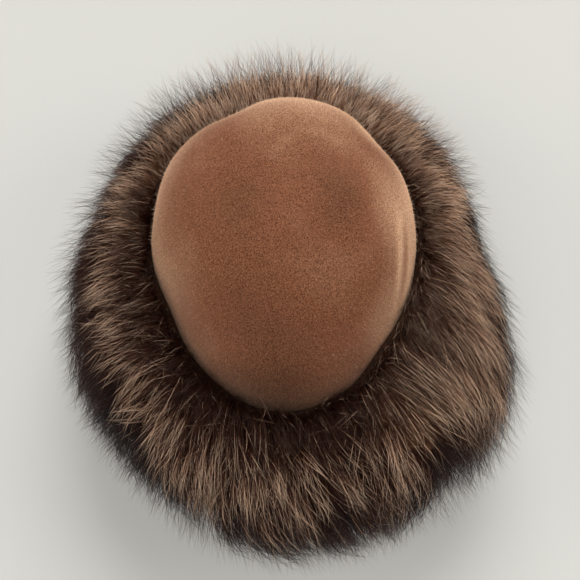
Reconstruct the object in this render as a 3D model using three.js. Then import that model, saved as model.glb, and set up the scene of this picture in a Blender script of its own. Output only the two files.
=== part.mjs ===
// A winter hat in two sewn pieces, in millimetres, standing on a table with +Z up and its front to -Y.
// The crown is one soft blocked hood of velour felt: a hollow dome, open below, with shallow dents.
// The cuff is one band of long-haired fur round the crown's lower half. Its hide and dense underfur
// are a rounded backing, and its guard hair grows out of that backing in rows of pointed locks.
// The origin is the middle of the footprint, on the table.

import * as THREE from "three";

// Driving dimensions. The rim is 58 cm round inside, a large adult size.
const CROWN_HALF_WIDTH = 86;
const CROWN_HALF_LENGTH = 104;
const CROWN_HEIGHT = 150;
const FELT = 2.5;
const NAPE_SWELL = 0.09; // the plan is this share wider behind the middle, and narrower before it
const FRONT_ROUNDNESS = 2.25; // the profile's exponent: 2 is an ellipse, and more is squarer
const BACK_ROUNDNESS = 3.2;

const CROWN_SHOULDER = 0.55; // dents begin above this part of the crown's height,
const CROWN_UPPER = 0.8; // and have their whole depth from this one up

const SEAM_GAP = 0.5; // between the felt and the fur sewn round it
const BACKING_OUT = 40; // how far the rolled backing stands out from the crown
const BACKING_MIDDLE = 38; // the height of its roundest part
const BACKING_TOP = 74;
const BACKING_FOOT = 0.4;

// Soft swells and hollows of the crown's plan, by the angle from +X towards the back, in degrees.
const crownSwells = [
  { angle: 5, swell: 0 },
  { angle: 40, swell: -2.5 },
  { angle: 62, swell: 1.5 },
  { angle: 95, swell: 3 },
  { angle: 118, swell: -2 },
  { angle: 150, swell: 4 },
  { angle: 175, swell: 4 },
  { angle: 205, swell: -2 },
  { angle: 235, swell: -2.5 },
  { angle: 265, swell: 1 },
  { angle: 300, swell: 0 },
  { angle: 335, swell: -2 },
];

// Dents pressed into the crown: their middle in plan, their depth and how far they spread.
const crownDents = [
  { x: 34, y: 34, depth: 7, spread: 24 },
  { x: -30, y: 12, depth: 5, spread: 28 },
  { x: 2, y: 58, depth: -3, spread: 16 },
  { x: 6, y: -42, depth: 3, spread: 24 },
  { x: -34, y: 82, depth: 5, spread: 15 },
  { x: 58, y: 64, depth: 5, spread: 16 },
];

// How far the guard hair reaches out from the crown, all round.
const furReach = [
  { angle: 8, reach: 60 },
  { angle: 35, reach: 66 },
  { angle: 60, reach: 72 },
  { angle: 92, reach: 69 },
  { angle: 122, reach: 66 },
  { angle: 150, reach: 60 },
  { angle: 185, reach: 65 },
  { angle: 210, reach: 68 },
  { angle: 235, reach: 63 },
  { angle: 268, reach: 66 },
  { angle: 300, reach: 71 },
  { angle: 330, reach: 79 },
  { angle: 348, reach: 71 },
];

// The rows of locks, from the foot of the cuff up to the crown. from is the bearing that a row is
// rooted at, round the backing's section, which runs from -90 at the foot by 0 straight out to 90 at
// the top. A row reaches to the next one's, and the last one to the felt. aim is the bearing that the
// hair leaves at. share is how far its tips stand out, as a part of furReach, and height is theirs.
const lockRows = [
  { from: -62, aim: -24, share: 0.88, height: 4 },
  { from: -38, aim: -8, share: 0.98, height: 17 },
  { from: -14, aim: 8, share: 1.0, height: 36 },
  { from: 10, aim: 28, share: 0.94, height: 57 },
  { from: 34, aim: 54, share: 0.76, height: 77 },
  { from: 58, aim: 78, share: 0.46, height: 88 },
];

// A lock's outline is its root's, drawn in along its length to a point.
const lockTaper = [
  { along: 0.42, wide: 0.84 },
  { along: 0.76, wide: 0.46 },
];

const AROUND = 48; // columns of the dome
const DOME_ROWS = 13;
const DOME_SPACING = 0.85; // under 1, so that the rows lie closer together near the top
const LOCKS_ROUND = 40; // locks in a row; each row stands half a lock round from the one below
const CUFF_COLUMNS = 2 * LOCKS_ROUND;
const HIDE_ROWS = 7; // rows of the cuff's inner wall, against the felt
const LOCK_BEND = 0.45; // how much of its length a lock runs along its aim before it bends to its tip
const LOCK_UNEVEN = 0.07; // how much longer or shorter than its row a lock may be
const LOCK_SWAY = 4; // how far a tip may lie to one side
const LOCK_RISE = 5; // how far a tip may lie above its row
const LOCK_TURN = 2.4; // radians from one lock to the next, so that neighbours differ
const ROW_TURN = 1.7;
const RISE_TURN = 1.3; // a tip's height and sway turn at rates of their own
const SWAY_TURN = 2.1;

const radians = THREE.MathUtils.degToRad;

// A value between a table's rows, eased and read round the full circle.
function aroundTable(table, column, angle) {
  const turn = THREE.MathUtils.euclideanModulo(THREE.MathUtils.radToDeg(angle), 360);
  const last = table.length - 1;
  let low = table.findLastIndex((row) => row.angle <= turn);
  if (low < 0) low = last;
  const high = low === last ? 0 : low + 1;
  const start = table[low].angle;
  const span = THREE.MathUtils.euclideanModulo(table[high].angle - start, 360);
  const along = THREE.MathUtils.euclideanModulo(turn - start, 360) / span;
  return THREE.MathUtils.lerp(
    table[low][column],
    table[high][column],
    THREE.MathUtils.smoothstep(along, 0, 1),
  );
}

// The crown's profile is a superellipse that is rounder before than behind.
function profilePower(angle) {
  return 2 / THREE.MathUtils.lerp(FRONT_ROUNDNESS, BACK_ROUNDNESS, (Math.sin(angle) + 1) / 2);
}

// The felt's outer face: angle runs round the crown and rise from 0 at the rim to 1 at the top.
function crownPoint(angle, rise) {
  const back = Math.sin(angle);
  const quarter = (rise * Math.PI) / 2;
  const power = profilePower(angle);
  const inward = rise < 1 ? Math.cos(quarter) ** power : 0;
  const height = CROWN_HEIGHT * Math.sin(quarter) ** power;
  const swell = aroundTable(crownSwells, "swell", angle) * Math.sin(Math.PI * Math.sqrt(rise)) ** 2;
  const point = new THREE.Vector3(
    (CROWN_HALF_WIDTH * (1 + NAPE_SWELL * back) + swell) * Math.cos(angle) * inward,
    (CROWN_HALF_LENGTH + swell) * back * inward,
    height,
  );
  const upper = THREE.MathUtils.smoothstep(height / CROWN_HEIGHT, CROWN_SHOULDER, CROWN_UPPER);
  for (const { x, y, depth, spread } of crownDents) {
    const away = Math.hypot(point.x - x, point.y - y) / spread;
    point.z -= upper * depth * Math.exp(-away * away);
  }
  return point;
}

// The same face moved out by a distance, or in by a negative one, square to the face.
function crownOffset(angle, rise, distance) {
  const step = 1e-3;
  const point = crownPoint(angle, rise);
  let normal;
  if (rise === 1) {
    const right = crownPoint(0, 1 - step).sub(point);
    const back = crownPoint(Math.PI / 2, 1 - step).sub(point);
    normal = right.cross(back).normalize();
  } else {
    const round = crownPoint(angle + step, rise).sub(crownPoint(angle - step, rise));
    const up = crownPoint(angle, rise + step).sub(crownPoint(angle, Math.max(rise - step, 0)));
    normal = round.cross(up).normalize();
  }
  if (rise === 0) normal.setZ(0).normalize();
  return point.addScaledVector(normal, distance);
}

const riseAt = (row) => (row / DOME_ROWS) ** DOME_SPACING;
const angleAt = (column, columns) => (column / columns) * 2 * Math.PI;

// A closed skin from points and the triangles between them.
function closed(points, faces) {
  const geometry = new THREE.BufferGeometry().setFromPoints(points).setIndex(faces);
  geometry.computeVertexNormals();
  return geometry;
}

// Points evenly round the circle.
function ringOf(columns, pointAt) {
  return Array.from({ length: columns }, (_, column) => pointAt(angleAt(column, columns)));
}

// Two triangles for each square between one ring and another, facing out where the second lies above
// the first on an outer wall.
function strip(columns, lower, upper) {
  const faces = [];
  for (let column = 0; column < columns; column += 1) {
    const next = (column + 1) % columns;
    const [a, b] = [lower * columns + column, lower * columns + next];
    const [c, d] = [upper * columns + next, upper * columns + column];
    faces.push(a, b, c, a, c, d);
  }
  return faces;
}

// The hollow crown: from the inner top down the inner wall, across the rim and up the outer wall.
function feltCrown() {
  const rings = [];
  for (let row = DOME_ROWS - 1; row >= 0; row -= 1)
    rings.push(ringOf(AROUND, (angle) => crownOffset(angle, riseAt(row), -FELT)));
  for (let row = 0; row < DOME_ROWS; row += 1)
    rings.push(ringOf(AROUND, (angle) => crownPoint(angle, riseAt(row))));
  const points = rings.flat();
  const faces = [];
  for (let ring = 0; ring + 1 < rings.length; ring += 1)
    faces.push(...strip(AROUND, ring, ring + 1));
  const innerTop = points.push(crownOffset(0, 1, -FELT)) - 1;
  const outerTop = points.push(crownPoint(0, 1)) - 1;
  const last = (rings.length - 1) * AROUND;
  for (let column = 0; column < AROUND; column += 1) {
    const next = (column + 1) % AROUND;
    faces.push(next, column, innerTop);
    faces.push(last + column, last + next, outerTop);
  }
  return closed(points, faces);
}

// A point beside the crown's wall, out from it square to the plan.
function besideCrown(angle, out, height) {
  const wall = crownPoint(angle, 0);
  const square = crownOffset(angle, 0, 1).sub(wall);
  return wall.addScaledVector(square, out).setZ(height);
}

// A point of the backing's face, at a bearing round its section.
function backingPoint(angle, bearing) {
  const rounded = Math.sin(radians(bearing));
  const half = rounded < 0 ? BACKING_MIDDLE - BACKING_FOOT : BACKING_TOP - BACKING_MIDDLE;
  const out = BACKING_OUT * Math.cos(radians(bearing));
  return besideCrown(angle, out, BACKING_MIDDLE + half * rounded);
}

// A point of the cuff's inner wall, which follows the felt at the same height.
function hidePoint(angle, height) {
  const power = profilePower(angle);
  const rise = (2 / Math.PI) * Math.asin((height / CROWN_HEIGHT) ** (1 / power));
  return crownOffset(angle, rise, SEAM_GAP);
}

// The rings of one lock, from the outline of its root to near its tip, and the tip.
function lock(row, index, count, root) {
  const turn = count * LOCK_TURN + index * ROW_TURN;
  const angle = angleAt(2 * count + (index % 2) + 1, CUFF_COLUMNS);
  const middle = root.reduce((sum, point) => sum.add(point), new THREE.Vector3());
  middle.divideScalar(root.length);
  const reach = aroundTable(furReach, "reach", angle) * (1 + LOCK_UNEVEN * Math.sin(turn));
  const outward = besideCrown(angle, 1, 0).sub(besideCrown(angle, 0, 0)).normalize();
  const side = new THREE.Vector3(-outward.y, outward.x, 0);
  const aim = outward.multiplyScalar(Math.cos(radians(row.aim))).setZ(Math.sin(radians(row.aim)));
  const tip = besideCrown(angle, row.share * reach, row.height);
  tip.z += LOCK_RISE * Math.sin(turn * RISE_TURN) ** 2;
  tip.addScaledVector(side, LOCK_SWAY * Math.sin(turn * SWAY_TURN));
  const bend = middle.clone().addScaledVector(aim, LOCK_BEND * middle.distanceTo(tip));
  const path = new THREE.QuadraticBezierCurve3(middle, bend, tip);
  const rings = lockTaper.map(({ along, wide }) => {
    const centre = path.getPoint(along);
    return root.map((point) => point.clone().sub(middle).multiplyScalar(wide).add(centre));
  });
  return { rings, tip };
}

// The cuff: an inner wall against the felt, a rounded backing, and over it rows of locks that each
// grow out of their own square of the backing, so that the whole is one closed skin.
function furCuff() {
  const columns = CUFF_COLUMNS;
  const rings = lockRows.map((row) => ringOf(columns, (angle) => backingPoint(angle, row.from)));
  for (let row = HIDE_ROWS; row >= 0; row -= 1) {
    const height = THREE.MathUtils.lerp(BACKING_FOOT, BACKING_TOP, row / HIDE_ROWS);
    rings.push(ringOf(columns, (angle) => hidePoint(angle, height)));
  }
  const points = rings.flat();
  const faces = [];
  for (let ring = lockRows.length; ring < rings.length; ring += 1)
    faces.push(...strip(columns, ring, (ring + 1) % rings.length));
  lockRows.forEach((row, index) => {
    for (let count = 0; count < LOCKS_ROUND; count += 1) {
      const first = 2 * count + (index % 2);
      const [a, b, c] = [first, first + 1, first + 2].map((column) => column % columns);
      const [below, above] = [index * columns, (index + 1) * columns];
      let loop = [below + a, below + b, below + c, above + c, above + b, above + a];
      const root = loop.map((at) => points[at]);
      const { rings: along, tip } = lock(row, index, count, root);
      for (const ring of along) {
        const start = points.length;
        points.push(...ring);
        const next = loop.map((_, corner) => start + corner);
        loop.forEach((at, corner) => {
          const turn = (corner + 1) % loop.length;
          faces.push(at, loop[turn], next[turn], at, next[turn], next[corner]);
        });
        loop = next;
      }
      const point = points.push(tip) - 1;
      loop.forEach((at, corner) => faces.push(at, loop[(corner + 1) % loop.length], point));
    }
  });
  return closed(points, faces);
}

const feltCamel = new THREE.MeshStandardMaterial({ color: 0xa3765a, roughness: 0.95, metalness: 0 });
const furBrown = new THREE.MeshStandardMaterial({ color: 0x5a4234, roughness: 0.85, metalness: 0 });

function piece(name, geometry, material) {
  const mesh = new THREE.Mesh(geometry, material);
  mesh.name = name;
  return mesh;
}

const hat = new THREE.Group();
hat.add(piece("felt_crown", feltCrown(), feltCamel));
hat.add(piece("fur_cuff", furCuff(), furBrown));

// Both pieces move so that the footprint's middle is the origin.
const middle = new THREE.Box3().setFromObject(hat).getCenter(new THREE.Vector3());
for (const mesh of hat.children) mesh.geometry.translate(-middle.x, -middle.y, 0);

export default hat;
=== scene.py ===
import math

import bpy
import numpy as np
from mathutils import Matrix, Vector


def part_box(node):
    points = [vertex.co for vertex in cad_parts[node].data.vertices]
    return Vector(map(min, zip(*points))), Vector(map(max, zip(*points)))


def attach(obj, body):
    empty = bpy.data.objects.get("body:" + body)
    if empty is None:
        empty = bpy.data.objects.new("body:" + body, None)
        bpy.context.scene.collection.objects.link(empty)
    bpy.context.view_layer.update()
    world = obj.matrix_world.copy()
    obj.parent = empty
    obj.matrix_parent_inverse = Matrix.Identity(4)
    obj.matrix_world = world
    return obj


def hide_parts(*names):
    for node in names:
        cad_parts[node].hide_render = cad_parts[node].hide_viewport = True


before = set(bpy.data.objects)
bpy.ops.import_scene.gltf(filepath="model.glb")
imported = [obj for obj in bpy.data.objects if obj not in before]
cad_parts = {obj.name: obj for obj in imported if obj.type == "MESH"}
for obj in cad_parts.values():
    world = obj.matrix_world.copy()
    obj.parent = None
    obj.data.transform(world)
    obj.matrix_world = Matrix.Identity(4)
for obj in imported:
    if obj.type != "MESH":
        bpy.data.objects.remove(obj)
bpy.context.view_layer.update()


# Felt crown
# The crown is one hood of wool velour felt, blocked by steam to an egg-shaped dome and still soft, so
# that it has shallow dents and a fold where a hand held it. Its edge is turned in under the cuff.
MM = 0.001
CROWN_WIDTH = 86 * MM  # half its width, half its length and its height, outside
CROWN_LENGTH = 104 * MM
CROWN_HEIGHT = 150 * MM
CROWN_LEFT = 88.26 * MM  # how far it reaches to the left of its own middle
FELT = 2.5 * MM
FRONT_ROUNDNESS = 2.25  # the exponent of the profile: 2 is an ellipse, and more is squarer
BACK_ROUNDNESS = 3.2
NAPE_SWELL = 0.09  # how much wider it is towards the back, and narrower in front, as a share
CROWN_SWELLS = [  # how far its wall bulges, in mm, by the angle in degrees from +X towards the back
    (5, -0.4), (25, 0.6), (42, -0.6), (62, 0.5), (95, 1), (118, -0.5), (150, 5.5), (175, 3),
    (205, -5), (235, -5), (265, -2.5), (300, -2), (333, -2.4), (350, -1.4),
]
CROWN_DENTS = [  # x, y, depth and spread, in mm; one of less than no depth stands out
    (34, 34, 7, 24), (-30, 12, 5, 28), (2, 58, -3, 16), (6, -42, 3, 24), (-34, 82, 5, 15),
    (58, 64, 5, 16),
]
DENTS_FROM = 0.55  # the share of the height where the dents begin, and where they are full
DENTS_FULL = 0.8
CROWN_CUTS = 52  # how many faces cross half a side of the cube that the dome is made from

crown_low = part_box("felt_crown")[0]
crown_middle = Vector((crown_low.x + CROWN_LEFT, crown_low.y + CROWN_LENGTH, 0))


def all_round(rows, angle):
    """A value between rows of (degrees, value), eased and read round the full circle."""
    turn = np.degrees(angle) % 360
    value = np.zeros_like(turn)
    for (start, low), (end, high) in zip(rows, rows[1:] + rows[:1]):
        span = (end - start) % 360
        along = ((turn - start) % 360) / span
        eased = np.clip(along, 0, 1) ** 2 * (3 - 2 * np.clip(along, 0, 1))
        value = np.where(along < 1, low + (high - low) * eased, value)
    return value


def ease(value, low, high):
    """0 up to low, 1 from high, and a smooth step between them."""
    share = np.clip((value - low) / (high - low), 0, 1)
    return share * share * (3 - 2 * share)


def crown_face(angle, tilt):
    """Points of the crown's outer face: tilt is 0 at the rim and a right angle at the top."""
    back = np.sin(angle)
    power = FRONT_ROUNDNESS + (BACK_ROUNDNESS - FRONT_ROUNDNESS) * (back + 1) / 2
    across, up = np.cos(tilt).clip(0), np.sin(tilt).clip(0)
    reach = (across**power + up**power) ** (-1 / power)
    inward, lift = across * reach, up * reach
    rise = 2 / np.pi * np.arcsin(np.clip(lift ** (power / 2), 0, 1))
    swell = all_round(CROWN_SWELLS, angle) * MM * np.sin(np.pi * np.sqrt(rise)) ** 2
    x = (CROWN_WIDTH * (1 + NAPE_SWELL * back) + swell) * np.cos(angle) * inward
    y = (CROWN_LENGTH + swell) * back * inward
    z = CROWN_HEIGHT * lift
    upper = ease(z / CROWN_HEIGHT, DENTS_FROM, DENTS_FULL)
    for dent_x, dent_y, depth, spread in CROWN_DENTS:
        away = ((x - dent_x * MM) ** 2 + (y - dent_y * MM) ** 2) / (spread * MM) ** 2
        z = z - upper * depth * MM * np.exp(-away)
    return np.stack([x, y, z], -1)


def get_points(mesh):
    """A mesh's points, one row each, in metres."""
    points = np.empty(len(mesh.vertices) * 3, np.float32)
    mesh.vertices.foreach_get("co", points)
    return points.reshape(-1, 3).astype(float)


def set_points(mesh, points):
    """Moves a mesh's points to new places."""
    mesh.vertices.foreach_set("co", np.asarray(points, np.float32).ravel())
    mesh.update()


bpy.ops.object.select_all(action="DESELECT")
bpy.ops.mesh.primitive_cube_add(size=2, location=(0, 0, 0))
crown = bpy.context.object
crown.name = "crown_felt"
bpy.ops.object.mode_set(mode="EDIT")
bpy.ops.mesh.select_all(action="SELECT")
bpy.ops.mesh.subdivide(number_cuts=2 * CROWN_CUTS - 1)
bpy.ops.mesh.bisect(plane_co=(0, 0, 0), plane_no=(0, 0, 1), clear_inner=True)
bpy.ops.object.mode_set(mode="OBJECT")

cube = get_points(crown.data)
spread = np.tan(cube * np.pi / 4)  # even angles from a cube's even squares
ball = spread / np.linalg.norm(spread, axis=1, keepdims=True)
crown_angle = np.arctan2(ball[:, 1], ball[:, 0])
crown_tilt = np.arcsin(np.clip(ball[:, 2], 0, 1))
points = crown_face(crown_angle, crown_tilt)

# A soft fold runs down the right wall: a rounded ridge with a shallow groove on its outer side.
FOLD_LINES = [  # x and y of the line's bow, how much it bows in 10 mm, its half width and rise, in mm
    (62.6, -20, 0.1, 2.5, 1.2), (67.0, -18, 0.25, 2.3, -1.1), (71.5, -21, 1.0, 2.4, 0.5),
]
FOLD_MIDDLE = -17 * MM
FOLD_REACH = 19 * MM
FOLD_OUT = 0.6  # how the rise shares out to the side and upwards
FOLD_UP = 0.8
out = np.stack([np.cos(crown_angle), np.sin(crown_angle), 0 * crown_angle], -1)
fold = 0 * crown_angle
for bow_x, bow_y, bowed, wide, rise in FOLD_LINES:
    line_x = bow_x * MM - bowed * MM * ((points[:, 1] - bow_y * MM) / (10 * MM)) ** 2
    fold += rise * MM * np.exp(-(((points[:, 0] - line_x) / (wide * MM)) ** 2))
fold *= np.exp(-(((points[:, 1] - FOLD_MIDDLE) / FOLD_REACH) ** 4))
points = points + (FOLD_OUT * out + np.array([0, 0, FOLD_UP])) * fold[:, None]

# A faint ridge stands on the back of the top, and broad ripples keep the dome from being perfect.
TOP_RIDGE = [(-7, 25), (-1, 33), (8, 40), (18, 42), (28, 40)]  # x and y, in mm
RIDGE_WIDE = 3.6  # its half width and its rise, and the ripples', in mm
RIDGE_RISE = 0.8
RIPPLE = 0.22
ridge = 0 * crown_angle
for (from_x, from_y), (to_x, to_y) in zip(TOP_RIDGE, TOP_RIDGE[1:]):
    start, line = np.array([from_x, from_y]) * MM, np.array([to_x - from_x, to_y - from_y]) * MM
    along = np.clip(((points[:, :2] - start) @ line) / (line @ line), 0, 1)
    gap = np.linalg.norm(points[:, :2] - start - along[:, None] * line, axis=1)
    ridge += np.exp(-((gap / (RIDGE_WIDE * MM)) ** 2)) * ease(points[:, 2], 0.09, 0.12)
points[:, 2] += RIDGE_RISE * MM * ridge
wander = (
    np.sin(points[:, 0] * 71 + 1.3 * np.sin(points[:, 1] * 53))
    + np.sin(points[:, 1] * 83 + 1.7 * np.sin(points[:, 2] * 61 + 2))
    + np.sin(points[:, 2] * 97 + points[:, 0] * 41 + 0.7)
)
points += out * (wander * RIPPLE * MM * ease(points[:, 2], 0, 0.03))[:, None]
points[crown_tilt < 1e-4, 2] = 0
set_points(crown.data, points + np.array(crown_middle))

# The felt's tone: 0.5 is the sheared felt's own colour, and light and shade are painted into it: paler
# on the steep sides and back as painted sheen, paler along the fold as a painted highlight, darker at
# places.
# Places of painted shade low on the front, where the fur shades the felt, and of a painted shadow on the
# front slope; of painted light on the back of the top and on the right slope; and two darker places over
# the dents on the top.
TONE_AND_PAINTED_LIGHT_PLACES = [  # x, y, z and reach in mm, and the change
    (31, 4, 146, 36, -0.16), (-28, -4, 147, 42, -0.13), (-4, -100, 60, 66, -0.36),
    (10, 84, 128, 62, 0.42), (-6, -62, 118, 44, -0.08), (60, 6, 124, 38, 0.28),
]
# Painted sheen: the steep walls are painted paler, most on the right and at the back and least in front.
PAINTED_SHEEN_ON_WALLS = [(0, 0.74), (30, 0.84), (90, 0.68), (150, 0.56), (180, 0.34), (220, 0.06), (270, -0.08),
                (305, 0.04), (335, 0.42)]  # by the angle, in degrees
# Painted highlights: the fold's crest and the top ridge are painted paler.
PAINTED_HIGHLIGHT_ON_FOLD = 0.28
PAINTED_HIGHLIGHT_ON_RIDGE = 0.05
normals = np.empty(len(points) * 3, np.float32)
crown.data.vertices.foreach_get("normal", normals)
normals = normals.reshape(-1, 3)
steep = 1 - normals[:, 2]
turned = steep / (1 - 0.4 * np.sin(crown_angle).clip(0))  # reaches 1 less far down at the back
# Painted sheen on the steep walls, then painted highlights on the fold and the ridge.
felt_tone_and_painted_light = 0.5 + all_round(PAINTED_SHEEN_ON_WALLS, crown_angle) * ease(turned, 0.3, 1.0)
felt_tone_and_painted_light += PAINTED_HIGHLIGHT_ON_FOLD * fold.clip(0) / MM + PAINTED_HIGHLIGHT_ON_RIDGE * ridge.clip(0, 1)
# Painted light and shade at the places listed above, and a darker tone over the dents.
for x, y, z, reach, change in TONE_AND_PAINTED_LIGHT_PLACES:
    away = np.linalg.norm(points / MM - (x, y, z), axis=1)
    felt_tone_and_painted_light += change * (1 - ease(away, 0, reach))
# The felt's tone, with its painted light and shade, is kept on the mesh for its material.
felt_tone_kept = crown.data.attributes.new("felt_tone_and_painted_light", "FLOAT", "POINT")
felt_tone_kept.data.foreach_set("value", felt_tone_and_painted_light.astype(np.float32))
felt_face = points, normals, felt_tone_and_painted_light
felt_quads = np.array([p.vertices[:] for p in crown.data.polygons if len(p.vertices) == 4])

thickness = crown.modifiers.new("felt_thickness", "SOLIDIFY")
thickness.thickness = FELT
thickness.offset = -1
thickness.use_even_offset = True
bpy.ops.object.modifier_apply(modifier=thickness.name)
bpy.ops.object.shade_smooth()


def linear(hex_colour):
    """An sRGB hex colour as the linear values that a socket takes."""
    parts = [int(hex_colour[at : at + 2], 16) / 255 for at in (1, 3, 5)]
    return tuple(p / 12.92 if p <= 0.04045 else ((p + 0.055) / 1.055) ** 2.4 for p in parts) + (1,)


def node(tree, kind, links=None, **settings):
    """Adds one node: sockets are set by name, from a value or from another node's socket."""
    made = tree.nodes.new(kind)
    for name, value in settings.items():
        setattr(made, name, value)
    for name, value in (links or {}).items():
        socket = made.inputs[name]
        if isinstance(value, bpy.types.NodeSocket):
            tree.links.new(value, socket)
        else:
            socket.default_value = value
    return made


def new_material(name):
    """An empty material and its node tree."""
    made = bpy.data.materials.new(name)
    made.use_nodes = True
    made.node_tree.nodes.clear()
    return made, made.node_tree


def set_ramp(ramp_node, stops):
    """Gives a colour ramp its stops, each a position and a hex colour."""
    ramp = ramp_node.color_ramp
    while len(ramp.elements) < len(stops):
        ramp.elements.new(0.5)
    for element, (position, colour) in zip(ramp.elements, stops):
        element.position = position
        element.color = linear(colour)


# Velour felt: wool felt whose surface is raised and sheared to a short nap. The eye sees a matt camel
# brown with a fine mottle where small groups of fibre ends lean together, paler towards every edge from
# its sheen and from painted sheen.
# Single fibres are far too fine to show, so they are drawn more than ten times as coarse.
NAP_MOTTLE = 0.7 * MM
NAP_FIBRE = 0.4 * MM
HAND_MARKS = 42 * MM

velour, tree = new_material("velour_felt_raised_and_sheared")
place = node(tree, "ShaderNodeTexCoord").outputs["Object"]
marks = node(tree, "ShaderNodeTexNoise", {"Vector": place, "Scale": 1 / HAND_MARKS, "Detail": 3.0})
mottle = node(tree, "ShaderNodeTexNoise", {"Vector": place, "Scale": 1 / NAP_MOTTLE, "Detail": 2.0,
                                           "Roughness": 0.6})
fibre = node(tree, "ShaderNodeTexNoise", {"Vector": place, "Scale": 1 / NAP_FIBRE, "Detail": 1.0})
# The broad colour follows the felt's tone with its painted light and shade, and random marks: dark for
# painted shade, pale for painted sheen and painted light.
tone_and_light_read = node(tree, "ShaderNodeAttribute", attribute_name="felt_tone_and_painted_light")
drifting = node(tree, "ShaderNodeMath", {0: marks.outputs["Fac"], 1: 0.3, 2: -0.15},
                operation="MULTIPLY_ADD")
tone_light_and_marks = node(tree, "ShaderNodeMath", {0: tone_and_light_read.outputs["Fac"], 1: drifting.outputs[0]}, operation="ADD")
broad = node(tree, "ShaderNodeValToRGB", {"Fac": tone_light_and_marks.outputs[0]})
set_ramp(broad, [(0.0, "#3f281c"), (0.25, "#7a533b"), (0.5, "#9d694c"), (1.0, "#f3c8a3")])
fine = node(tree, "ShaderNodeValToRGB", {"Fac": mottle.outputs["Fac"]})
set_ramp(fine, [(0.29, "#7b6860"), (0.5, "#cfc3bb"), (0.7, "#ffffff")])
colour = node(tree, "ShaderNodeMix", {0: 1.0, 6: broad.outputs["Color"], 7: fine.outputs["Color"]},
              data_type="RGBA", blend_type="MULTIPLY")
height = node(tree, "ShaderNodeMath", {0: mottle.outputs["Fac"], 1: fibre.outputs["Fac"]},
              operation="ADD")
relief = node(tree, "ShaderNodeBump", {"Height": height.outputs[0], "Strength": 0.7,
                                       "Distance": 0.6 * MM})
skin = node(tree, "ShaderNodeBsdfPrincipled", {
    "Base Color": colour.outputs[2], "Roughness": 0.95, "IOR": 1.45, "Specular IOR Level": 0.2,
    "Sheen Weight": 0.4, "Sheen Roughness": 0.2, "Sheen Tint": linear("#ffd8bc"),
    "Normal": relief.outputs["Normal"],
})
node(tree, "ShaderNodeOutputMaterial", {"Surface": skin.outputs["BSDF"]})

crown.data.materials.append(velour)
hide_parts("felt_crown")
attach(crown, "root")


# Underfur
# The cuff's hide is a strip of long-haired fur sewn round the crown and rolled, so that only its dense
# woolly underfur is seen between the long hairs. It fills the roll and almost touches the felt.
SEAM_GAP = 0.5 * MM  # between the felt and the fur that is sewn to it
HIDE_FOOT = 0.6 * MM  # how high the roll's foot is
FUR_REACH = [  # how far the tips stand out from the crown's wall in plan, in mm, all round
    (8, 46), (35, 54), (60, 59), (92, 64), (122, 58), (150, 52), (185, 61), (210, 66), (238, 67),
    (268, 72), (295, 76), (308, 83), (319, 84), (331, 80), (346, 66),
]
# The coat's even face by the bearing round its section, 0 outwards and 90 up: the share of the reach
# and the height in mm. Past the last bearing it runs in to the felt.
COAT_BEARINGS = [-75, -50, -26, -2, 22, 46, 74, 100]
COAT_SHARES = [0.72, 0.88, 0.97, 1.0, 0.94, 0.78, 0.48, 0.2]
COAT_HEIGHTS = [1.5, 5, 17, 36, 57, 76, 87, 87]
COAT_INNER = 125  # the bearing where the hair meets the felt
COAT_AT_FELT = [  # the height where the hair meets the felt, in mm, all round
    (0, 77), (90, 76), (190, 76), (212, 68), (240, 70), (270, 75), (298, 79), (320, 89), (336, 86),
]
HAIR_OFF_FELT = 2 * MM
COAT_MIDDLE = 12 * MM  # how far out the middle of the coat's section is, and how high
COAT_MIDDLE_HEIGHT = 38 * MM
UNDERFUR_SHARE = 0.64  # how far the underfur reaches from that middle to the coat's face
# At the back, this paleness is in part painted light: the fur there is painted paler, as though lit
# through from behind.
PALER = [  # how much larger the share of tan hairs is than at the front, and paler the underfur
    (0, 0.36), (45, 0.44), (90, 0.45), (135, 0.38), (165, 0.2), (200, 0.11), (235, 0.04), (290, 0.04),
    (318, 0.25), (338, 0.27),
]
PARTINGS = [  # where the hair parts: angle, bearing, its two half widths in degrees, its depth in mm
    (307, 18, 6.5, 21, 2), (284.5, 23, 5, 9, 3),
]


def beside_crown(angle, out, height):
    """A point out from the crown's wall, square to the rim in plan."""
    rim = crown_face(angle, 0 * angle)
    ahead = crown_face(angle + 1e-3, 0 * angle) - crown_face(angle - 1e-3, 0 * angle)
    square = np.stack([ahead[..., 1], -ahead[..., 0]], -1)
    square /= np.linalg.norm(square, axis=-1, keepdims=True)
    plan = rim[..., :2] + square * np.asarray(out)[..., None]
    return np.concatenate([plan, (np.zeros_like(angle) + height)[..., None]], -1), square


def beyond_felt(angle, height, gap):
    """A point beside the felt at a height, a gap out from its outer face."""
    power = FRONT_ROUNDNESS + (BACK_ROUNDNESS - FRONT_ROUNDNESS) * (np.sin(angle) + 1) / 2
    lift = np.clip(height / CROWN_HEIGHT, 0, 1)
    face = crown_face(angle, np.arctan2(lift, (1 - lift**power) ** (1 / power)))
    face[..., :2] *= 1 + gap / np.linalg.norm(face[..., :2], axis=-1, keepdims=True)
    face[..., 2] = height
    return face


def parting(angle, bearing):
    """How deep in a parting a place of the coat is, in metres and as a share."""
    depth, share = 0 * angle, 0 * angle
    for at_angle, at_bearing, wide, high, deep in PARTINGS:
        turn = (np.degrees(angle) - at_angle + 180) % 360 - 180
        inside = np.exp(-((turn / wide) ** 2) - ((bearing - at_bearing) / high) ** 2)
        depth = depth + deep * MM * inside
        share = np.maximum(share, inside)
    return depth, share


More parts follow.
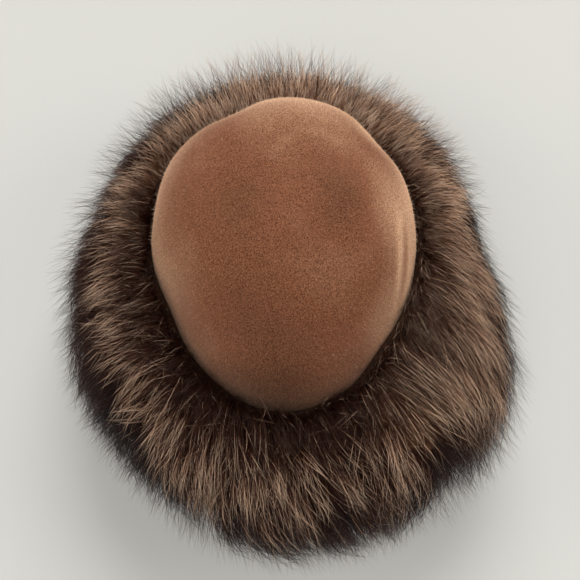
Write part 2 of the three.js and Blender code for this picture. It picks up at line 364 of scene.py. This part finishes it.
def coat_point(angle, bearing, longer):
    """A point of the coat: longer is 1 on its even face, 0 in the middle of its section."""
    share = np.interp(bearing, COAT_BEARINGS, COAT_SHARES)
    height = np.interp(bearing, COAT_BEARINGS, COAT_HEIGHTS) * MM
    reach = all_round(FUR_REACH, angle) * MM
    middle = beside_crown(angle, COAT_MIDDLE + 0 * angle, COAT_MIDDLE_HEIGHT)[0]
    even = beside_crown(angle, share * reach, height)[0]
    inner = beyond_felt(angle, all_round(COAT_AT_FELT, angle) * MM, HAIR_OFF_FELT)
    last = COAT_BEARINGS[-1]
    even += (inner - even) * np.clip((bearing - last) / (COAT_INNER - last), 0, 1)[..., None]
    away = np.linalg.norm(even - middle, axis=-1)
    longer = longer - parting(angle, bearing)[0] / away
    return middle + (even - middle) * longer[..., None]


def underfur_face(angle, bearing, swell=0.0):
    """The underfur's face, by the bearing round its section: it reaches down to the table."""
    face = coat_point(angle, bearing, UNDERFUR_SHARE + swell + 0 * angle)
    lift = np.sin(np.radians(np.clip(bearing, -90, 0)))
    low = COAT_MIDDLE_HEIGHT + (COAT_MIDDLE_HEIGHT - HIDE_FOOT) * lift
    face[..., 2] = np.where(bearing < 0, low, face[..., 2])
    return face


UNDERFUR_ROUND = 288  # faces round the hat, and round the roll's section
UNDERFUR_SECTION = 64
OUTER_TURN = 195  # how many degrees of the torus's section make the underfur's outer face
FELT_SIDE_DROP = 12 * MM  # how far the underfur stays below the hair against the felt
WOOLLY = 0.02  # how uneven its face is, as a share of its reach
PALER_WOOL = 1.9  # how strongly it follows PALER on the side that is seen

bpy.ops.object.select_all(action="DESELECT")
bpy.ops.mesh.primitive_torus_add(major_segments=UNDERFUR_ROUND, minor_segments=UNDERFUR_SECTION,
                                 major_radius=1.0, minor_radius=0.25)
underfur = bpy.context.object
underfur.name = "cuff_underfur"
ring = get_points(underfur.data)
angle = np.arctan2(ring[:, 1], ring[:, 0])
section = (np.degrees(np.arctan2(ring[:, 2], np.hypot(ring[:, 0], ring[:, 1]) - 1.0)) + 90) % 360
outer = section <= OUTER_TURN
bearing = np.where(outer, -90 + section * (COAT_INNER + 90) / OUTER_TURN, COAT_INNER)
woolly = (
    np.sin(angle * 31 + 2.1 * np.sin(bearing * 0.09))
    + np.sin(bearing * 0.21 + 3 * np.sin(angle * 17))
    + np.sin(angle * 67 + bearing * 0.4)
)
face = underfur_face(angle, bearing, WOOLLY * woolly)
# The rest of the section runs down the felt, from the top of the roll to its foot.
down = ease(section, OUTER_TURN, 360)
side_top = all_round(COAT_AT_FELT, angle) * MM - FELT_SIDE_DROP
wall = beyond_felt(angle, side_top + (HIDE_FOOT - side_top) * down, SEAM_GAP)
points = np.where(outer[:, None], face, wall)
points[:, 2] = np.maximum(points[:, 2], HIDE_FOOT)
set_points(underfur.data, points + np.array(crown_middle))
# The top of the roll is painted paler where PALER is large: partly paler wool, partly painted light from
# behind.
paleness_and_light_on_wool = PALER_WOOL * all_round(PALER, angle)
paleness_and_light_on_wool = paleness_and_light_on_wool * ease(bearing, 20, 50) * (1 - ease(bearing, 100, 122))
wool_paleness_and_painted_light = underfur.data.attributes.new("wool_paleness_and_painted_light", "FLOAT", "POINT")
wool_paleness_and_painted_light.data.foreach_set("value", paleness_and_light_on_wool.astype(np.float32))
bpy.ops.object.mode_set(mode="EDIT")
bpy.ops.mesh.select_all(action="SELECT")
bpy.ops.mesh.normals_make_consistent(inside=False)
bpy.ops.object.mode_set(mode="OBJECT")
bpy.ops.object.shade_smooth()

# Underfur: fine crimped wool hair, left as it grows. It is matt and nearly black, and warm brown on the
# top of the roll, partly paler wool and partly painted light; its clumps show while its crimp is drawn
# coarser than real.
WOOL_CLUMP = 3.5 * MM
WOOL_CRIMP = 0.8 * MM

wool, tree = new_material("dense_woolly_underfur")
place = node(tree, "ShaderNodeTexCoord").outputs["Object"]
clump = node(tree, "ShaderNodeTexNoise", {"Vector": place, "Scale": 1 / WOOL_CLUMP, "Detail": 4.0})
crimp = node(tree, "ShaderNodeTexNoise", {"Vector": place, "Scale": 1 / WOOL_CRIMP, "Detail": 2.0})
tone = node(tree, "ShaderNodeValToRGB", {"Fac": clump.outputs["Fac"]})
set_ramp(tone, [(0.3, "#1c0c06"), (0.7, "#4a2613")])
wool_paleness_and_painted_light = node(tree, "ShaderNodeAttribute", attribute_name="wool_paleness_and_painted_light")
tone = node(tree, "ShaderNodeMix", {0: wool_paleness_and_painted_light.outputs["Fac"], 6: tone.outputs["Color"],
                                    7: linear("#a26d4c")}, data_type="RGBA")
height = node(tree, "ShaderNodeMath", {0: clump.outputs["Fac"], 1: crimp.outputs["Fac"]},
              operation="ADD")
relief = node(tree, "ShaderNodeBump", {"Height": height.outputs[0], "Strength": 1.0,
                                       "Distance": 1.5 * MM})
skin = node(tree, "ShaderNodeBsdfPrincipled", {
    "Base Color": tone.outputs[2], "Roughness": 0.9, "Specular IOR Level": 0.2,
    "Sheen Weight": 0.2, "Sheen Tint": linear("#a98a6c"), "Normal": relief.outputs["Normal"],
})
node(tree, "ShaderNodeOutputMaterial", {"Surface": skin.outputs["BSDF"]})

underfur.data.materials.append(wool)
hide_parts("fur_cuff")
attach(underfur, "root")


# Guard hair
# Long guard hairs grow out of the hide in small pointed tufts, brushed outwards over one another. Many
# are banded, dark at the root and tan at the end. Those that lie lowest, along the coat's edge, are black.
COMBED = [  # how far the hair is combed round from straight outwards, in degrees, all round
    (0, -17), (45, -6), (90, 0), (160, 3), (185, 9), (205, 8), (226, 1), (246, 11), (265, 15),
    (286, 6), (300, -12), (313, -4), (330, -20),
]
COMBED_SHARE = 0.37  # of that turn, the part that shows as a turn round the hat
BLACK_EDGE = [  # the bearing up to which the hair is black, all round
    (0, 28), (35, 27), (60, 22), (98, 24), (118, 50), (150, 52), (175, 49), (200, 45), (222, 39),
    (240, 18), (265, 6), (300, 0), (322, 0), (338, 20),
]
# On the back left the black edge is painted browner: painted light from the window behind.
BROWN_EDGE = [  # how brown that black is, all round
    (0, 0), (100, 0.05), (130, 0.2), (160, 0.17), (205, 0.1), (228, 0),
]
BANDED = 0.46  # the share of banded hairs where the fur is darkest, and how strongly PALER adds to it
BANDED_MORE = 1.3
# By the felt the dark hairs take over: a dark ring that is largely painted shade, in the gap where the fur
# falls away from the crown.
INNER_EDGE = 56  # the bearing past which dark hairs take over, and how strongly PALER adds to it
INNER_LATER = 15
INNER_SOFT = 28  # over how many degrees they do, and the share that they take
INNER_LOST = 0.94

rng = np.random.default_rng(20)


def drift(angle, bearing, seed):
    """A smooth wandering value of about -1 to 1 over the coat."""
    b = np.radians(bearing)
    return (
        np.sin(5 * angle + 1.9 * np.sin(2 * b + seed) + seed)
        + 0.7 * np.sin(11 * angle - 3 * b + 2.3 * seed)
        + 0.5 * np.sin(23 * angle + 5 * b + 1.7 * seed)
    ) / 1.6


def share_banded(angle, bearing):
    """The share of tan banded hairs among the black ones, by where the tips lie."""
    edge = all_round(BLACK_EDGE, angle)
    past_edge = ease(bearing, edge - 6, edge + 8)
    # Past the inner edge the hair is painted dark, as painted shade by the felt.
    inner_from = INNER_EDGE + INNER_LATER * all_round(PALER, angle)
    inner = 1 - INNER_LOST * ease(bearing, inner_from, inner_from + INNER_SOFT)
    outside = (1 - parting(angle, bearing)[1]) * (1 - parting(angle, bearing + 14)[1])
    return past_edge * inner * outside**2 * (BANDED + BANDED_MORE * all_round(PALER, angle))


HAIR_TAPER = 0.6  # how much of its width a hair loses before its point
LOWEST_HAIR = 0.4 * MM
NO_HAIR_ALONG = [0.31, 0.17, 0.93]  # a direction that a hair hardly ever takes
MAP_STEP = 0.004  # how far apart a hair's corners are on the map


def hair_mesh(name, root, bend, tip, width, tone, rings):
    """One mesh of many hairs, each a closed three-sided taper along its own curve."""
    count = len(root)
    step = np.linspace(0, 1, rings + 1)[:-1] ** 0.8
    one, two, three = (1 - step) ** 2, 2 * step * (1 - step), step**2
    path = root[:, None] * one[:, None] + bend[:, None] * two[:, None] + tip[:, None] * three[:, None]
    ahead = (bend - root)[:, None] * (1 - step)[:, None] + (tip - bend)[:, None] * step[:, None]
    ahead /= np.linalg.norm(ahead, axis=-1, keepdims=True)
    side = np.cross(ahead, NO_HAIR_ALONG)
    side /= np.linalg.norm(side, axis=-1, keepdims=True)
    over = np.cross(ahead, side)
    spin = rng.uniform(0, 2 * np.pi, count)[:, None, None] + np.arange(3) * 2 * np.pi / 3
    thick = (width[:, None] * (1 - HAIR_TAPER * step**1.5))[..., None, None] / 2
    around = np.cos(spin)[..., None] * side[:, :, None] + np.sin(spin)[..., None] * over[:, :, None]
    points = np.concatenate([
        (path[:, :, None] + around * thick).reshape(count, rings * 3, 3), tip[:, None],
    ], axis=1)
    points[..., 2] = np.maximum(points[..., 2], LOWEST_HAIR)

    faces, lengths = [[0, 2, 1]], [3]
    for level in range(rings - 1):
        for corner in range(3):
            a, b = level * 3 + corner, level * 3 + (corner + 1) % 3
            faces.append([a, b, b + 3, a + 3])
            lengths.append(4)
    last = rings - 1
    for corner in range(3):
        faces.append([last * 3 + corner, last * 3 + (corner + 1) % 3, rings * 3])
        lengths.append(3)
    corners = np.concatenate([np.array(f) for f in faces])
    each = rings * 3 + 1
    loops = (np.arange(count)[:, None] * each + corners).ravel()
    starts = np.concatenate([[0], np.cumsum(lengths)[:-1]])
    loop_starts = (np.arange(count)[:, None] * len(corners) + starts).ravel()

    mesh = bpy.data.meshes.new(name)
    mesh.vertices.add(count * each)
    mesh.vertices.foreach_set("co", (points + np.array(crown_middle)).astype(np.float32).ravel())
    mesh.loops.add(len(loops))
    mesh.loops.foreach_set("vertex_index", loops.astype(np.int32))
    mesh.polygons.add(len(loop_starts))
    mesh.polygons.foreach_set("loop_start", loop_starts.astype(np.int32))
    mesh.update(calc_edges=True)
    mesh.validate()
    mesh.polygons.foreach_set("use_smooth", np.ones(len(mesh.polygons), bool))
    # The map has the hair's tone across and its length up, so like hairs share a place on it. All of
    # them stay just inside its border.
    across = np.concatenate([np.tile([0, MAP_STEP, 2 * MAP_STEP], rings), [MAP_STEP]])
    upward = np.concatenate([np.repeat(step, 3) + np.tile([0, MAP_STEP, 0], rings), [1.0]])
    u = np.clip(tone, 0, 1)[:, None] * 0.985 + across
    v = np.tile(upward * 0.99 + 0.002, (count, 1))
    mapped = np.stack([u, v], -1).reshape(-1, 2)[loops]
    mesh.uv_layers.new(name="OFBake").data.foreach_set("uv", mapped.astype(np.float32).ravel())
    piece = bpy.data.objects.new(name, mesh)
    bpy.context.collection.objects.link(piece)
    return piece


# Guard hair: keratin, grown smooth and brushed, so that it is slightly glossy along its length. Its
# colour runs from root to tip, and its tone goes from black hairs to the palest banded ones.
guard, tree = new_material("banded_guard_hair")
on_hair = node(tree, "ShaderNodeUVMap", uv_map="OFBake").outputs["UV"]
parts = node(tree, "ShaderNodeSeparateXYZ", {"Vector": on_hair})
pale = node(tree, "ShaderNodeValToRGB", {"Fac": parts.outputs["Y"]})
set_ramp(pale, [(0.0, "#1f0c05"), (0.45, "#30160c"), (0.64, "#8a5e45"), (0.84, "#ffe3c6"),
                (1.0, "#efc7a6")])
black = node(tree, "ShaderNodeValToRGB", {"Fac": parts.outputs["X"]})
set_ramp(black, [(0.0, "#0f1012"), (0.13, "#351509")])
# The palest banded hairs, at the back, take a paler ramp: in part painted light from behind.
light = node(tree, "ShaderNodeValToRGB", {"Fac": parts.outputs["Y"]})
set_ramp(light, [(0.0, "#55301f"), (0.35, "#7e553f"), (0.72, "#e0bb9d"), (1.0, "#e6c3a6")])
lightest = node(tree, "ShaderNodeMapRange", {"Value": parts.outputs["X"], "From Min": 0.75})
pale = node(tree, "ShaderNodeMix", {0: lightest.outputs["Result"], 6: pale.outputs["Color"],
                                    7: light.outputs["Color"]}, data_type="RGBA")
banding = node(tree, "ShaderNodeMapRange", {"Value": parts.outputs["X"], "From Min": 0.13})
colour = node(tree, "ShaderNodeMix", {0: banding.outputs["Result"], 6: black.outputs["Color"],
                                      7: pale.outputs[2]}, data_type="RGBA")
skin = node(tree, "ShaderNodeBsdfPrincipled", {
    "Base Color": colour.outputs[2], "Roughness": 0.42, "IOR": 1.55, "Specular IOR Level": 0.17,
})
node(tree, "ShaderNodeOutputMaterial", {"Surface": skin.outputs["BSDF"]})


def hair_piece(name, root, bend, tip, width, tone, rings):
    """A mesh of hairs as a piece of the cuff."""
    piece = hair_mesh(name, root, bend, tip, width, tone, rings)
    piece.data.materials.append(guard)
    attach(piece, "root")


HAIRS_IN_TUFT = 13
TUFT_SPREAD = 3.2 * MM
HIDE_ROUND = 120 * MM  # about how far the roll is from the hat's middle, and its face from its own
HIDE_SECTION = 38 * MM
TUFT_LAY = 31  # how many degrees of bearing a tuft's tips lie below its root
TUFT_CURL = 2.6 * MM
HAIR_CURL = 2.6 * MM
HAIR_BOW = 0.6  # how far a hair's bend stands off the hide, as a share of its length
ROOT_DEPTH = 0.04  # how deep in the underfur its root is, as a share of the coat
LOOSE_HAIRS = 0.16  # the share of hairs that leave their tuft's point
TIP_STRAYS = (0.024, 4.5)  # how far any tip strays, in radians round the hat and in degrees of bearing
BANDED_TONE = 0.84
DARK_TONE = 0.1
DARK_TONE_PAINTED_BACKLIGHT = 0.3  # how much paler the dark hairs are painted at the back: painted light, as though lit through from behind
HAIR_WIDTH = (0.21, 0.36)  # in mm: two or three times a real one's, so that fewer of them cover the hide
# How tufts differ: the part that wanders over the coat, and the part that is each tuft's own.
SWAY_DIFFERS = (0.045, 0.032)
LAY_DIFFERS = (6, 5)
LENGTH_DIFFERS = (0.03, 0.05)
TONE_DIFFERS = (0.14, 0.5)


def grow_tufts(name, angle, bearing, rings):
    """Guard hair in pointed tufts, each with its middle at an angle and a bearing of the hide."""
    tufts = len(angle)
    wild = 1 - 1.6 * all_round(PALER, angle)  # the paler the fur, the more evenly it lies

    def differ(amounts, seed):
        wandering, own = amounts
        return wild * (wandering * drift(angle, bearing, seed) + rng.normal(0, own, tufts))

    sway = np.radians(all_round(COMBED, angle)) * COMBED_SHARE + differ(SWAY_DIFFERS, 1.0)
    lay = TUFT_LAY + differ(LAY_DIFFERS, 4.0)
    longer = 1 + differ(LENGTH_DIFFERS, 7.0)
    longer = np.minimum(longer, 1 + 0.2 * ease(COAT_INNER + lay - bearing, 20, 50))
    paler = differ(TONE_DIFFERS, 9.0) - 0.02
    curl = wild[:, None] * rng.normal(0, TUFT_CURL, (tufts, 3))

    # A tuft's hairs spread over the hide, most where it is pale, and meet in its point or stay loose.
    count = tufts * HAIRS_IN_TUFT
    of = np.repeat(np.arange(tufts), HAIRS_IN_TUFT)
    off = rng.normal(0, 1, (count, 2)) * (1 + 1.3 * all_round(PALER, angle))[of, None]
    spread_angle = off[:, 0] * TUFT_SPREAD / HIDE_ROUND
    spread_bearing = np.degrees(off[:, 1] * TUFT_SPREAD / HIDE_SECTION)
    loose = rng.uniform(0.0, 0.32, count) + 1.6 * all_round(PALER, angle)[of]
    loose = np.where(rng.random(count) < LOOSE_HAIRS, 1, loose)
    hair_angle = angle[of] + spread_angle
    hair_bearing = np.minimum(bearing[of] + spread_bearing, COAT_INNER)
    root = underfur_face(hair_angle, hair_bearing, -ROOT_DEPTH)
    tip_angle = angle[of] + sway[of] + spread_angle * loose + rng.normal(0, TIP_STRAYS[0], count)
    tip_bearing = bearing[of] - lay[of] + spread_bearing * loose + rng.normal(0, TIP_STRAYS[1], count)

    # The outer hairs of a tuft are shorter, and at the back their lengths are the least even.
    uneven = 0.1 + 0.3 * ease(np.sin(hair_angle), 0.2, 0.8)
    shorter = 0.035 * (off**2).sum(1).clip(0, 5) + uneven * rng.random(count) ** 3
    tip = coat_point(tip_angle, tip_bearing, longer[of] - shorter + rng.normal(0, 0.03, count))

    # Each rises square off the hide and bows over to its tip.
    core = beside_crown(hair_angle, COAT_MIDDLE + 0 * hair_angle, COAT_MIDDLE_HEIGHT)[0]
    outward = root - core
    outward /= np.linalg.norm(outward, axis=1, keepdims=True)
    length = np.linalg.norm(tip - root, axis=1)
    bend = root + outward * (HAIR_BOW * length)[:, None] + curl[of]
    bend = bend + rng.normal(0, HAIR_CURL, root.shape)

    # Its tone: banded or dark, black in the partings and along the edge, and a little brown below it.
    banded = rng.random(count) < share_banded(tip_angle, tip_bearing) * (1 + 1.2 * paler[of])
    # At the back the dark hairs are painted paler: painted light from behind.
    dark = DARK_TONE + 0.6 * all_round(PALER, tip_angle)
    dark = dark + DARK_TONE_PAINTED_BACKLIGHT * ease(np.sin(tip_angle), 0.5, 0.9)
    tone = rng.normal(BANDED_TONE + 0.35 * all_round(PALER, tip_angle), 0.2 * wild[of])
    tone = np.where(banded, tone, rng.normal(dark, 0.05, count))
    tone *= 1 - parting(tip_angle, tip_bearing)[1]
    edge = all_round(BLACK_EDGE, tip_angle)
    tone *= ease(tip_bearing, edge - 14, edge + 6)
    tone = np.maximum(tone, all_round(BROWN_EDGE, tip_angle))
    tone = np.maximum(tone, ease(-tip_bearing, 5, 40) * (0.1 + 0.5 * paler[of].clip(0)))
    width = rng.uniform(*HAIR_WIDTH, count) * MM * (1 + 0.15 * tone)
    width *= 1 - 0.3 * all_round(PALER, hair_angle)
    hair_piece(name, root, bend, tip, width, tone, rings)


TUFTS = 2600  # over the coat, seen from above
TUFTS_BELOW = 1100  # round its lower edge, next to the table

for name, middle_angle in (("guard_hair_right", 0), ("guard_hair_back", 90),
                           ("guard_hair_left", 180), ("guard_hair_front", 270)):
    quarter = math.radians(middle_angle) + rng.uniform(-np.pi / 4, np.pi / 4, TUFTS // 4)
    grow_tufts(name, quarter, rng.uniform(5, COAT_INNER + 28, TUFTS // 4), 3)
grow_tufts("guard_hair_below", rng.uniform(0, 2 * np.pi, TUFTS_BELOW),
           rng.uniform(-75, 5, TUFTS_BELOW), 2)


# Stray hair
# Finer hairs stand out of the coat on their own: curved pale ones over its inner side and across the
# felt's lower edge, and long ones that reach beyond its outline, dark all round but for the back.
STRAY_WIDTH = (0.13 * MM, 0.22 * MM)


def grow_strays(name, root, bend, tip, tone):
    """Stray hairs, finer than the coat's."""
    width = rng.uniform(*STRAY_WIDTH, len(root))
    hair_piece(name, root, bend, tip, width, tone, 3)


INNER_STRAYS = 1000
INNER_LENGTH = (14, 36)  # in mm

angle = rng.uniform(0, 2 * np.pi, INNER_STRAYS)
bearing = rng.uniform(62, 120, INNER_STRAYS)
angle[::3] = np.radians(rng.uniform(195, 340, len(angle[::3])))  # more in front, over the felt's edge
bearing[::3] = rng.uniform(98, 122, len(bearing[::3]))
root = underfur_face(angle, bearing)
square = beside_crown(angle, 0 * angle, 0)[1]
out = np.concatenate([square, 0 * square[:, :1]], 1)
round_way = np.stack([-square[:, 1], square[:, 0], 0 * angle], 1)
up = np.array([0, 0, 1])
length = rng.uniform(*INNER_LENGTH, INNER_STRAYS)[:, None] * MM
way = rng.normal(0.55, 0.4, INNER_STRAYS)[:, None]  # how far out from the crown it leans
way[::3] = rng.normal(0.2, 0.35, len(way[::3]))[:, None]
across = rng.normal(0, 0.4, INNER_STRAYS)[:, None]  # and how far round it
rise = rng.uniform(0.15, 0.6, INNER_STRAYS)[:, None]
bend = root + length * (0.6 * up + 0.1 * way * out)
tip = root + length * (rise * up + way * out + across * round_way)
grow_strays("stray_hair_inner", root, bend, tip, rng.uniform(0.45, 1.0, INNER_STRAYS))

OUTLINE_STRAYS = 5200
STRAYS_STAND_OUT = [  # the most that a hair reaches past the coat, as a share, all round
    (0, 0.18), (22, 0.28), (45, 0.24), (85, 0.3), (105, 0.32), (130, 0.34), (165, 0.32),
    (200, 0.2), (235, 0.15), (310, 0.14),
]
STRAYS_PALER = [(0, 0.0), (25, 0.15), (50, 0.9), (108, 0.9), (132, 0.1)]  # how pale they are
STRAY_CURL = 3 * MM
STRAY_BOW = 5 * MM

angle = rng.uniform(0, 2 * np.pi, OUTLINE_STRAYS)
back = ease(np.sin(angle), 0.2, 0.7)
bearing = rng.uniform(-30, 75, OUTLINE_STRAYS)
bearing[::2] = rng.uniform(10, 60, OUTLINE_STRAYS // 2)
bearing += 25 * back
root = underfur_face(angle, bearing)
combed = np.radians(all_round(COMBED, angle)) * COMBED_SHARE
tip_bearing = bearing - rng.uniform(22, 40, OUTLINE_STRAYS) * (1 - 0.4 * back)
stands_out = all_round(STRAYS_STAND_OUT, angle)
tip = coat_point(angle + combed + rng.normal(0, 0.06, OUTLINE_STRAYS), tip_bearing,
                 1.02 + stands_out * rng.random(OUTLINE_STRAYS))
bend = (root + tip) / 2 + rng.normal(0, STRAY_CURL, root.shape) + STRAY_BOW * up
grow_strays("stray_hair_outline", root, bend, tip, rng.uniform(0.0, 0.16, OUTLINE_STRAYS)
            + all_round(STRAYS_PALER, angle) * rng.random(OUTLINE_STRAYS))


# Raised nap
# The felt's surface was raised, so that single wool fibres stand a millimetre or two out of it. They
# lean down the crown, and make its outline soft and pale against the fur.
NAP_FIBRES = 12000
NAP_LENGTH = (0.9 * MM, 2.1 * MM)
NAP_WIDTH = (0.12 * MM, 0.2 * MM)  # as thick as a small lock of wool fibres, so that they show
NAP_ROOT = 0.2 * MM
SEEN_FROM = 50 * MM  # the height above which the fur leaves the felt bare

at = rng.choice(len(felt_quads), NAP_FIBRES)
first, second = rng.random((2, NAP_FIBRES, 1))
sharing = (1 - first) * (1 - second), first * (1 - second), first * second, (1 - first) * second
root, square, tone = (
    sum(share * value.reshape(len(value), -1)[felt_quads[at, corner]]
        for corner, share in enumerate(sharing))
    for value in felt_face
)
seen = root[:, 2] > SEEN_FROM
root, square, tone = root[seen], square[seen], tone[seen, 0]
lean = rng.normal(0, 0.35, root.shape) - 0.35 * up
length = rng.uniform(*NAP_LENGTH, len(root))[:, None]
tip = root + length * (0.8 * square + lean)
bend = root + length * (0.6 * square + 0.25 * lean)
root = root - NAP_ROOT * square
# Each fibre takes the felt's tone at its root, with the painted light and shade in it, a little paler.
nap_fibres = hair_mesh("raised_nap", root, bend, tip, rng.uniform(*NAP_WIDTH, len(root)),
                       tone + rng.normal(0.1, 0.07, len(root)), 1)

# Raised wool fibre: brushed up out of the felt and dyed with it. It is matt, and its colour follows the
# felt's tone with its painted light and shade.
fibre, tree = new_material("raised_wool_fibre")
on_fibre = node(tree, "ShaderNodeUVMap", uv_map="OFBake").outputs["UV"]
parts = node(tree, "ShaderNodeSeparateXYZ", {"Vector": on_fibre})
colour = node(tree, "ShaderNodeValToRGB", {"Fac": parts.outputs["X"]})
set_ramp(colour, [(0.0, "#4e2c1d"), (0.5, "#b37b5a"), (1.0, "#ffddbd")])
skin = node(tree, "ShaderNodeBsdfPrincipled", {
    "Base Color": colour.outputs["Color"], "Roughness": 0.9, "Specular IOR Level": 0.2,
    "Sheen Weight": 0.3, "Sheen Tint": linear("#ffd8bc"),
})
node(tree, "ShaderNodeOutputMaterial", {"Surface": skin.outputs["BSDF"]})
nap_fibres.data.materials.append(fibre)
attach(nap_fibres, "root")


# Table, light and view
# The hat stands on a plain pale table, in the light of a bright room: a broad window behind it, the lit
# ceiling above it and the room's own soft light from all round.
bpy.ops.object.select_all(action="DESELECT")
bpy.ops.mesh.primitive_plane_add(size=8, location=(0, 0, 0))
table = bpy.context.object
table.name = "table"
# Its top is smooth and matt, with nothing on it that draws the eye.
top, tree = new_material("plain_pale_table")
skin = node(tree, "ShaderNodeBsdfPrincipled", {
    "Base Color": linear("#cacac6"), "Roughness": 0.9, "Specular IOR Level": 0.2,
})
node(tree, "ShaderNodeOutputMaterial", {"Surface": skin.outputs["BSDF"]})
table.data.materials.append(top)


def soft_light(name, place, size, power, colour):
    """A round area light, in metres and watts, that faces the middle of the table."""
    bpy.ops.object.light_add(type="AREA", location=place)
    light = bpy.context.object
    light.name = name
    light.data.shape = "DISK"
    light.data.size = size
    light.data.energy = power
    light.data.color = linear(colour)[:3]
    light.rotation_euler = (-Vector(place)).to_track_quat("-Z", "Y").to_euler()


soft_light("window_behind", (0.8, 6.4, 4.0), 5.8, 525, "#ffffff")
soft_light("ceiling", (0.0, -0.9, 2.4), 2.4, 24, "#ffffff")
soft_light("room_front", (-0.9, -2.2, 1.8), 2.0, 14, "#ffffff")
soft_light("room_left", (-1.7, 0.0, 0.7), 1.4, 12, "#fff6ec")
soft_light("room_right", (1.7, 0.1, 0.7), 1.4, 15, "#fff6ec")

world = bpy.data.worlds.new("bright_room")
world.use_nodes = True
world.node_tree.nodes["Background"].inputs["Color"].default_value = linear("#f6f6f4")
world.node_tree.nodes["Background"].inputs["Strength"].default_value = 0.22
bpy.context.scene.world = world
bpy.context.scene.view_settings.view_transform = "Standard"

# The hat is seen from in front and well above it, from about 45 cm away. The picture's middle lies a
# little off the lens's, so the view is shifted by a few of its 580 pixels.
VIEW_UP = math.radians(66)
VIEW_AWAY = 448.7 * MM
VIEW_HEIGHT = 60 * MM  # where on the crown's upright middle line it aims
VIEW_WIDE = math.radians(45)
PICTURE = 580
SHIFT_X = 3.5
SHIFT_Y = -26

aim = crown_middle + Vector((0, 0, VIEW_HEIGHT))
to_camera = Vector((0, -math.cos(VIEW_UP), math.sin(VIEW_UP))) * VIEW_AWAY
bpy.ops.object.camera_add(location=aim + to_camera)
camera = bpy.context.object
camera.name = "camera_over_front"
camera.rotation_euler = (-to_camera).to_track_quat("-Z", "Y").to_euler()
camera.data.angle = VIEW_WIDE
camera.data.shift_x = SHIFT_X / PICTURE
camera.data.shift_y = SHIFT_Y / PICTURE
camera.data.clip_start = 10 * MM
bpy.context.scene.camera = camera
